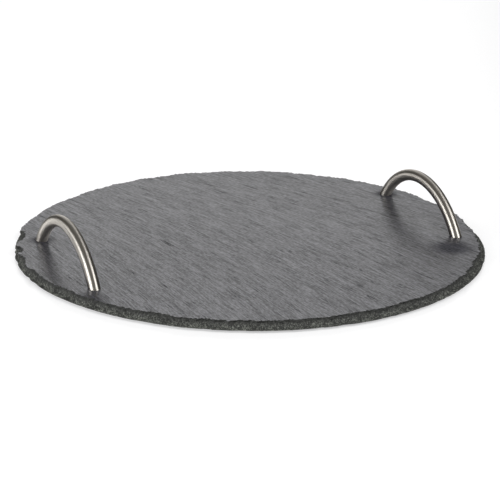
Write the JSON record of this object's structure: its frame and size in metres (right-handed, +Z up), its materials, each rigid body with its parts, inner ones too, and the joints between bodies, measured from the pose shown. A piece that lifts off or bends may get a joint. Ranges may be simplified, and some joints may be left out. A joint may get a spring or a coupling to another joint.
{
  "type": "slate serving board",
  "caption": "Round slate serving board with a hand-knapped edge and bent stainless bar handles screwed on from below.",
  "frame": {"origin": "under the middle of the board, in the plane of the pads' undersides, which is the table", "axes": "+X from the middle towards the right handle, +Y along the line through a handle's two feet, +Z up out of the slate's top face"},
  "size_m": [0.3998, 0.3999, 0.047],
  "materials": {
    "slate": "matte",
    "satin_steel": "satin",
    "screw_steel": "satin",
    "pad_rubber": "matte"
  },
  "bodies": {
    "root": {"slate_board": "slate", "left_handle": "satin_steel", "right_handle": "satin_steel", "left_front_screw": "screw_steel", "left_rear_screw": "screw_steel", "right_front_screw": "screw_steel", "right_rear_screw": "screw_steel", "left_front_pad": "pad_rubber", "left_rear_pad": "pad_rubber", "right_front_pad": "pad_rubber", "right_rear_pad": "pad_rubber"}
  },
  "joints": []
}
